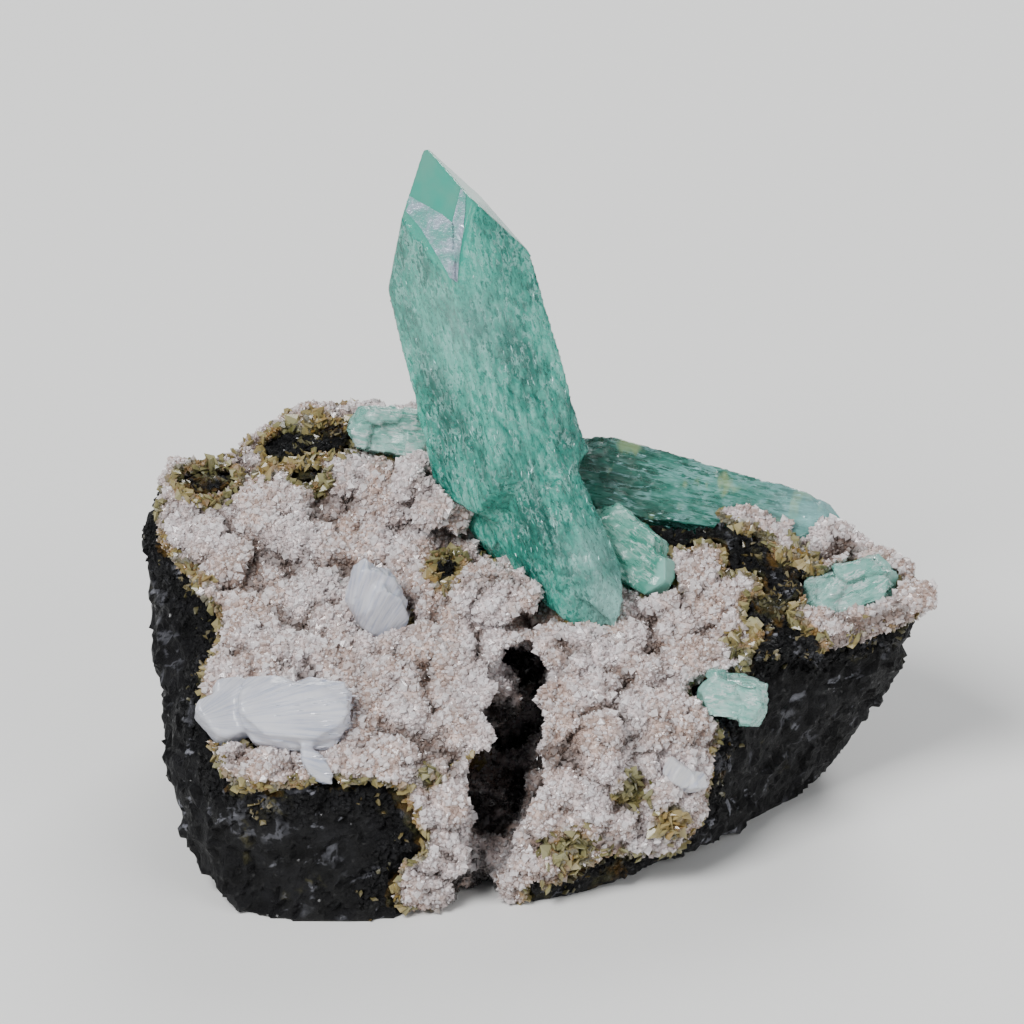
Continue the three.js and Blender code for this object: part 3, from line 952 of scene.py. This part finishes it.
@dataclass
class Rock:
    """The basalt and the druse over it.

    Args:
        basalt_cell: the width of the basalt's faces.
        druse_cell: the width of the faces of the druse's bed.
        knob: how far the druse's knobs stand out of its creases.
        knob_width: how wide the knobs are.
        cluster: how far the small clusters on them stand out.
        cluster_width: how wide the clusters are.
        chip: how far the basalt's chips tilt.
        stained: how far the olive and ochre reach from the bare basalt.
        grain_pieces: how many pieces the druse's grains are shared between.
    """

    basalt_cell: float = 0.58
    druse_cell: float = 0.48
    knob: float = 2.2
    knob_width: float = 4.0
    cluster: float = 0.9
    cluster_width: float = 1.7
    chip: float = 0.9
    stained: float = 1.9
    grain_pieces: int = 4
    basalt: bpy.types.Object | None = None
    druse: bpy.types.Object | None = None

    def build(self) -> None:
        """Makes the basalt and the bed of the druse."""
        self.basalt = remeshed(solid_copy("basalt_matrix", "basalt"), self.basalt_cell)
        self.druse = remeshed(solid_copy("drusy_crust", "druse_bed"), self.druse_cell)
        rock, crust = points_of(self.basalt.data), points_of(self.druse.data)
        bare = rock[nearest(rock, crust) > 0.8]
        self.break_basalt(rock, nearest(rock, crust))
        self.raise_druse(crust, nearest(crust, rock), nearest(crust, bare))

    def break_basalt(self, points: np.ndarray, edge: np.ndarray) -> None:
        """Breaks the basalt's surface into chips and pits.

        Args:
            points: the basalt's points.
            edge: how far each lies from the druse, in millimetres.
        """
        mesh = self.basalt.data
        coarse = 0.5 * chips(points, 7.0) * smooth(edge, 0.5, 2.5)
        depth = self.chip * (0.7 * chips(points, 3.6) + 0.5 * chips(points, 1.7) + coarse)
        depth += 0.25 * fractal(points, 1.2, 3) - 0.4
        depth[points[:, 2] < 0.35 * MM] = 0
        places = show_places(points)
        stain = np.max([one.over(places) for one in STAINS], axis=0)
        front = smooth(normals_of(mesh) @ np.array(SHOW_OUT), 0.1, 0.5)
        near = smooth(edge, 4.5, 1.5) * smooth(edge, 0.6, 0.9)
        store(mesh, "rim", np.maximum(smooth(edge, self.stained, 0.3) * 0.8, stain * 0.8))
        store(mesh, "crumbs", near * (0.1 + 0.9 * front) * (points[:, 2] > 1.5 * MM))
        cluster = smooth(fractal(points, 3.0, 2), -0.05, 0.25)
        store(mesh, "window", near * front * (0.12 + 0.88 * stain) * cluster)
        move_points(mesh, points + normals_of(mesh) * (depth * MM)[:, None])
        finish_piece(self.basalt, "basalt", "basalt_matrix", material=Basalt().material())

    def raise_druse(self, points: np.ndarray, cover: np.ndarray, edge: np.ndarray) -> None:
        """Raises the druse in knobs, and marks its stains and where shade is painted in its hollows and in
        the depth of the cleft.

        Args:
            points: the druse's points before they move.
            cover: how far each lies from the basalt beneath, in millimetres.
            edge: how far each lies from the bare basalt.
        """
        mesh = self.druse.data
        facing = normals_of(mesh) @ np.array(SHOW_OUT)
        outer = smooth(cover, 0.5, 1.1)
        bared = np.maximum(outer, smooth(facing, -0.35, 0.05))
        knob, cluster = domes(points, self.knob_width), domes(points + 0.01, self.cluster_width)
        height = self.knob * (knob - 0.82) + self.cluster * (cluster - 0.7) + 0.14 * fractal(points, 0.8, 3)
        places = show_places(points)
        lobe = 12.0 + 0.1 * (places[:, 1] + 28) - 0.29 * (places[:, 0] - 10)
        surface = np.minimum(-5.0 - 0.8 * places[:, 1], lobe)
        deep = smooth(surface - places[:, 2], 3.5, 9.0) * (np.abs(places[:, 0]) < 9)
        # where the painted shade falls in the druse's creases, less on the knobs and clusters
        hollow = np.clip(1 - 0.6 * knob - 0.5 * cluster, 0, 1)
        stain = np.max([one.over(places) for one in STAINS], axis=0)
        rim = np.maximum(smooth(edge, self.stained + 0.8, 0.9), stain) * bared
        store(mesh, "hollow", hollow)
        store(mesh, "rim", rim)
        store(mesh, "deep", deep)
        store(mesh, "open", bared * (1 - 0.45 * deep))
        store(mesh, "knobs", outer * smooth(cluster, 0.55, 0.9) * (1 - deep))
        store(mesh, "stained", bared * smooth(rim + 0.3 * fractal(points, 2.0, 2), 0.45, 0.85))
        store(mesh, "spiky", bared * smooth(stain + 0.25 * fractal(points, 1.5, 2), 0.6, 0.9))
        move_points(mesh, points + normals_of(mesh) * (height * outer * MM)[:, None])
        finish_piece(self.druse, "druse", "drusy_crust", material=Druse().material())

    def grow_grains(self) -> None:
        """Covers the druse in grains, its knobs in larger crystals, its stains in olive ones."""
        finish = Druse("druse_grains", grains=True).material()
        fine, bright = grain(Habit.SIX_SIDED, 0.66), grain(Habit.SQUARE, 0.8)
        for i in range(self.grain_pieces):
            made = Scatter(0.7).grow(self.druse, f"druse_grains_{i + 1}", finish, fine, 2.6, 0.3, 0.76,
                                     11 + i, "open")
            finish_piece(made, "druse")
        made = Scatter(0.9).grow(self.druse, "druse_crystals", finish, bright, 2.6, 0.6, 1.35, 21, "knobs")
        finish_piece(made, "druse")
        made = Scatter(0.9).grow(self.druse, "olive_crystals", Olive().material(), grain(Habit.PLATE, 1.1),
                                 3.0, 0.5, 1.6, 31, "stained")
        finish_piece(made, "druse")
        spike = Olive("olive_spike", "#55552b", "#86652a", "#c2ba8c").material()
        made = Scatter(0.8).grow(self.druse, "olive_spikes", spike, grain(Habit.PLATE, 0.75),
                                 1.5, 1.4, 3.0, 33, "spiky")
        finish_piece(made, "druse")
        made = Scatter(1.2).grow(self.basalt, "basalt_crumbs", Basalt("basalt_crumb").material(),
                                 grain(Habit.SQUARE, 1.3), 5.0, 0.3, 0.8, 41, "crumbs")
        finish_piece(made, "basalt")
        dark = Olive("dark_olive", "#2f2f1b", "#54431f", "#77704c").material()
        made = Scatter(1.0).grow(self.basalt, "window_crystals", dark, grain(Habit.PLATE, 1.1), 6.0, 0.4, 1.1,
                                 43, "window")
        finish_piece(made, "basalt")


@dataclass
class Crystal:
    """A green crystal: its body, smooth at the tip and finely ridged below, and short needles on its sides.

    Args:
        node: the CAD node that it stands for.
        axis: the direction of its length.
        slot: the record's material slot.
        finish: the body's finish.
        smooth_end: the share of its length that stays smooth, from the tip down.
        ridge: the depth of the ridges.
        lump: the width of the lumps between them.
        needles: how many needles stand on a square millimetre of its sides.
        cell: the width of its faces.
        fade: the share of its length over which the smooth end turns rough.
        broken: how far its broken chips tilt.
        frosted: where it is milky.
        wedge: the edges of the clear facet in the show face, each from one place to another in
            millimetres; the crystal is rough to the right of any of them.
    """

    node: str
    axis: Vector
    slot: str
    finish: GreenCrystal
    smooth_end: float = 0.12
    ridge: float = 0.3
    lump: float = 1.2
    needles: float = 0.35
    cell: float = 0.26
    fade: float = 0.26
    broken: float = 0.0
    frosted: tuple = ()
    wedge: tuple = ()

    def build(self) -> None:
        """Makes the body and its needles."""
        body = remeshed(solid_copy(self.node, f"{self.node}_body"), self.cell)
        points, normals = points_of(body.data), normals_of(body.data)
        axis = np.array(self.axis.normalized())
        along = points @ axis
        share = (along.max() - along) / (along.max() - along.min())
        bend = 0.12 * fractal(points, 4.0, 3)
        low = smooth(share + bend, self.smooth_end, self.smooth_end + self.fade)
        places = show_places(points)
        rough = np.maximum(low, self.beyond(places) * smooth(normals @ np.array(SHOW_OUT), 0.0, 0.3))
        squeezed = points - along[:, None] * axis * 0.6
        relief = domes(squeezed, self.lump) - 1 + 0.5 * fractal(squeezed, 0.6 * self.lump, 3) - 0.1
        store(body.data, "rough", rough)
        frost = np.max([np.zeros(len(points)), *(one.over(places) for one in self.frosted)], axis=0)
        store(body.data, "frost", frost)
        store(body.data, "side", low * (np.abs(normals @ axis) < 0.3) * smooth(share, 0.97, 0.88))
        depth = self.ridge * relief * low
        if self.broken:
            depth += self.broken * (chips(points, 4.6) + 0.2 * chips(points, 2.0) - 0.25)
        move_points(body.data, points + normals * (depth * MM)[:, None])
        body.data.polygons.foreach_set("use_smooth", np.ones(len(body.data.polygons), bool))
        finish_piece(body, self.slot, self.node, material=self.finish.material())
        needle = Needle(f"{self.node}_needle", self.finish.deep, self.finish.milk).material()
        made = Scatter(0.35, self.axis).grow(body, f"{self.node}_needles", needle, grain(Habit.SQUARE, 0.2),
                                             self.needles, 0.4, 1.0, 5, "side")
        finish_piece(made, self.slot)

    def beyond(self, places: np.ndarray) -> np.ndarray:
        """Finds how far each place is past the clear facet.

        Args:
            places: places in the show face's frame.

        Returns:
            0 on the facet, 1 once outside.
        """
        reach = np.full(len(places), -9.0)
        for (u, v), (to_u, to_v) in self.wedge:
            across, up = to_u - u, to_v - v
            right = (places[:, 0] - u) * up - (places[:, 1] - v) * across
            reach = np.maximum(reach, right / math.hypot(across, up))
        wavy = reach + 0.4 * fractal(places * MM, 1.6, 3)
        return smooth(wavy, 0.1, 1.1) * smooth(places[:, 1], 34.0, 31.5)


@dataclass
class Bevels:
    """The bevels that meet in a V under the tall crystal's point, as thin plates set into its faces that
    carry a painted silvery blue reflection.

    Args:
        node: the CAD node of the crystal.
        lift: how far the plates' outer faces stand out of the crystal.
        thickness: the plates' thickness.
        cuts: how many times a plate is divided.
        left: the left plate's corners, to the right and up in the show face, in millimetres.
        right: the right plate's corners.
    """

    node: str = "tall_crystal"
    lift: float = 0.13
    thickness: float = 0.25
    cuts: int = 5
    left: tuple = ((-11.3, 31.9), (-10.7, 33.2), (-7.25, 31.2), (-6.05, 30.2), (-5.8, 24.1), (-6.36, 24.5),
                   (-9.45, 29.7))
    right: tuple = ((-6.25, 30.2), (-5.3, 34.0), (-4.8, 33.2), (-4.85, 31.5), (-5.5, 27.0), (-5.75, 24.2),
                    (-6.1, 24.3))

    def build(self) -> None:
        """Lays both bands on the crystal as one closed piece each."""
        solid = solid_copy(self.node, "bevel_guide")
        work = bmesh.new()
        work.from_mesh(solid.data)
        guide = BVHTree.FromBMesh(work)
        work.free()
        bpy.data.objects.remove(solid)
        # each band is coloured with the painted reflection
        for name, outline in (("left", self.left), ("right", self.right)):
            finish_piece(self.band(f"{self.node}_bevel_{name}", outline, guide), "green_crystal",
                         material=BevelReflection(f"bevel_{name}").material())

    def band(self, name: str, outline: tuple, guide: BVHTree) -> bpy.types.Object:
        """One band: its outline filled, divided, pressed onto the crystal and thickened.

        Args:
            name: the piece's name.
            outline: its corners to the right and up in the show face, in millimetres.
            guide: the crystal's faces.

        Returns:
            The piece.
        """
        work = bmesh.new()
        face = work.faces.new([work.verts.new(show(u, v, 40)) for u, v in outline])
        bmesh.ops.triangulate(work, faces=[face])
        for _ in range(self.cuts):
            long = [edge for edge in work.edges if edge.calc_length() > 0.5 * MM]
            bmesh.ops.subdivide_edges(work, edges=long, cuts=1)
            bmesh.ops.triangulate(work, faces=work.faces)
        missed = []
        for vert in work.verts:
            hit, normal, _, _ = guide.ray_cast(vert.co, -SHOW_OUT)
            if hit is None or normal.dot(SHOW_OUT) < 0.25:
                missed.append(vert)
            else:
                vert.co = hit + normal * self.lift * MM
        bmesh.ops.delete(work, geom=missed, context="VERTS")
        work.normal_update()
        sheet = bpy.data.meshes.new(name)
        work.to_mesh(sheet)
        work.free()
        made = bpy.data.objects.new(name, sheet)
        bpy.context.scene.collection.objects.link(made)
        step = made.modifiers.new("thick", "SOLIDIFY")
        step.thickness = self.thickness * MM
        step.offset = 1
        return flattened(made)


@dataclass
class WhiteCrystal:
    """A fibrous white crystal or cluster, softened where its blades meet.

    Args:
        node: the CAD node that it stands for.
        waist: where its fibres meet.
        softness: how many times its points are evened out.
        ribs: how high its ribs stand.
        pale: its lighter colour.
        cell: the width of its faces.
        frayed: how far its fibres end one beyond the other.
        fibres: how many loose fibres stand on a square millimetre.
        axis: the fibres' common direction.
    """

    node: str
    waist: Vector
    softness: int = 10
    ribs: float = 0.06
    pale: str = "#f4f5fc"
    cell: float = 0.24
    frayed: float = 0.5
    fibres: float = 0.0
    axis: Vector = SHOW_RIGHT

    def build(self) -> None:
        """Makes the crystal with ribs along its fibres."""
        body = remeshed(solid_copy(self.node, f"{self.node}_body"), self.cell)
        if self.softness:
            body.modifiers.new("soft", "SMOOTH").iterations = self.softness
            flattened(body)
        points = points_of(body.data)
        places = show_places(points) - show_places(np.array([self.waist]))
        reach = np.hypot(places[:, 0], places[:, 1])
        turn = np.arctan2(places[:, 1], places[:, 0])
        spread = np.column_stack((turn * 9, reach * 0.08, places[:, 2] * 0.3)) * MM
        shift = normals_of(body.data) * (self.ribs * fractal(spread, 0.7, 3) * MM)[:, None]
        if self.softness:
            outward = np.outer(places[:, 0], SHOW_RIGHT) + np.outer(places[:, 1], SHOW_UP)
            tips = smooth(reach, 0.5 * reach.max(), reach.max())
            ends = self.frayed * fractal(spread + 0.05, 0.6, 3) * tips
            shift += outward / reach[:, None] * (ends * MM)[:, None]
        store(body.data, "ends", smooth(reach, 0.35 * reach.max(), 0.8 * reach.max()))
        move_points(body.data, points + shift)
        body.data.polygons.foreach_set("use_smooth", np.full(len(body.data.polygons), self.softness > 0))
        finish = Stilbite(f"{self.node}_finish", self.waist, self.pale)
        finish_piece(body, "stilbite", self.node, material=finish.material())
        if self.fibres:
            loose = Needle(f"{self.node}_fibre", "#aab3c6", self.pale).material()
            needle = grain(Habit.SQUARE, 0.13)
            made = Scatter(0.14, self.axis).grow(body, f"{self.node}_fibres", loose, needle,
                                                 self.fibres, 0.7, 1.7, 9, "ends")
            finish_piece(made, "stilbite")


@dataclass
class Studio:
    """The camera, a plain pale floor and plain soft light.

    Args:
        distance: how far the camera stands from the specimen, in metres.
        width: the width of what it sees there.
        reach: the floor's width.
        glow: the strength of the light from all round.
    """

    distance: float = 1.0
    width: float = 0.1075
    reach: float = 6.0
    glow: float = 0.26

    def camera(self) -> None:
        """Sets the camera at the photograph's angle, with a long lens."""
        data = bpy.data.cameras.new("camera")
        data.sensor_width = 36
        data.lens = data.sensor_width * self.distance / self.width
        data.clip_start = 0.05
        data.clip_end = 20
        made = bpy.data.objects.new("camera", data)
        bpy.context.scene.collection.objects.link(made)
        aim = show(0, 0.2, 0)
        made.matrix_world = Matrix.Translation(aim + SHOW_OUT * self.distance) @ Matrix(
            (SHOW_RIGHT, SHOW_UP, SHOW_OUT)).transposed().to_4x4()
        bpy.context.scene.camera = made

    def floor(self) -> None:
        """Lays the floor just below the specimen."""
        half = self.reach / 2
        mesh = bpy.data.meshes.new("floor")
        corners = [(-half, -half, 0), (half, -half, 0), (half, half, 0), (-half, half, 0)]
        mesh.from_pydata(corners, [], [(0, 1, 2, 3)])
        made = bpy.data.objects.new("floor", mesh)
        made.location.z = -0.00002
        g = Graph("floor")
        mesh.materials.append(g.surface(Base_Color=rgb("#e4e4e2"), Roughness=0.9))
        bpy.context.scene.collection.objects.link(made)

    def light(self, name: str, place: Vector, size: float, power: float) -> None:
        """Hangs one square soft light that faces the specimen.

        Args:
            name: its name.
            place: where it hangs, in metres.
            size: its width.
            power: its watts.
        """
        data = bpy.data.lights.new(name, "AREA")
        data.size = size
        data.energy = power
        made = bpy.data.objects.new(name, data)
        made.location = place
        made.rotation_euler = (Vector((0, 0, 0.03)) - place).to_track_quat("-Z", "Y").to_euler()
        bpy.context.scene.collection.objects.link(made)

    def build(self) -> None:
        """Makes the camera, floor and lights."""
        self.camera()
        self.floor()
        self.light("key", Vector((-0.45, -0.5, 0.75)), 0.4, 13.0)
        self.light("fill", Vector((0.7, -0.5, 0.4)), 0.7, 4.0)
        self.light("rim", Vector((0.2, 0.7, 0.5)), 0.5, 6.0)
        world = bpy.data.worlds.new("world")
        world.use_nodes = True
        world.node_tree.nodes["Background"].inputs[0].default_value = (0.9, 0.93, 1.0, 1)
        world.node_tree.nodes["Background"].inputs[1].default_value = self.glow
        bpy.context.scene.world = world


def leaning_axis(lean: float, nod: float = 0.0) -> Vector:
    """Finds the direction of a crystal's length.

    Args:
        lean: how far it leans to the left in the show face, in degrees.
        nod: how far it nods towards the viewer.

    Returns:
        The direction.
    """
    turn, forward = math.radians(lean), math.radians(nod)
    across = -SHOW_RIGHT * math.sin(turn) + SHOW_UP * math.cos(turn)
    return across * math.cos(forward) + SHOW_OUT * math.sin(forward)


def crystals() -> Iterable[Crystal | WhiteCrystal | Bevels]:
    """Lists every crystal of the specimen.

    Returns:
        The crystals, in the order in which they are built.
    """
    tall = leaning_axis(15)
    bevel = (((-11.5, 31.8), (-5.9, 24.2)), ((-5.9, 24.2), (-4.0, 33.4)))
    foot = (Stain(11.2, -9.6, 3.4), Stain(8.6, -4.0, 2.6, 0.6), Stain(-5.0, 20.0, 5.0, 0.3))
    yield Crystal("tall_crystal", tall, "green_crystal", GreenCrystal("tall_green", tall), 0.24, frosted=foot,
                  wedge=bevel)
    yield Bevels()
    lying = leaning_axis(-100.5)
    finish = GreenCrystal("lying_green", lying, "#0a4a3c", "#358a78", "#a9dfe0", "#a0d5d5", 0.45,
                          stain=0.6, streak=7.0)
    point = (Stain(34.0, -0.4, 6.0, 0.9),)
    yield Crystal("lying_crystal", lying, "green_crystal", finish, 0.02, frosted=point)
    fan = leaning_axis(-125, 8)
    pale = {"deep": "#3b9a85", "light": "#84cfbd", "milk": "#d3f0e8", "tip": "#9bd8ca", "streak": 4.0}
    finish = GreenCrystal("fan_green", fan, **pale)
    yield Crystal("fan_crystal", fan, "green_crystal", finish, 0.05, 0.4, needles=0.1)
    pale |= {"deep": "#6db8a8", "light": "#a9ded3", "milk": "#e9f6f4", "milkiness": 0.9}
    for node, lean in (("behind_crystal", 84), ("pale_crystal_upper", -68), ("pale_crystal_lower", 78)):
        axis = leaning_axis(lean)
        finish = GreenCrystal(f"{node}_green", axis, **pale)
        yield Crystal(node, axis, "pale_crystal", finish, 0.0, 0.15, 1.6, 0.1, broken=1.0)
    yield WhiteCrystal("stilbite_blade", show(-20, -22, 0))
    yield WhiteCrystal("stilbite_sheaf", show(-34, -21.8, 12), 18, fibres=0.5)
    yield WhiteCrystal("white_blocks", show(8, -40, 0), 0, 0.0, "#fbfbfc")


def main() -> None:
    """Builds the specimen and its studio."""
    Studio().build()
    rock = Rock()
    rock.build()
    rock.grow_grains()
    for crystal in crystals():
        crystal.build()


if __name__ == "__main__":
    main()
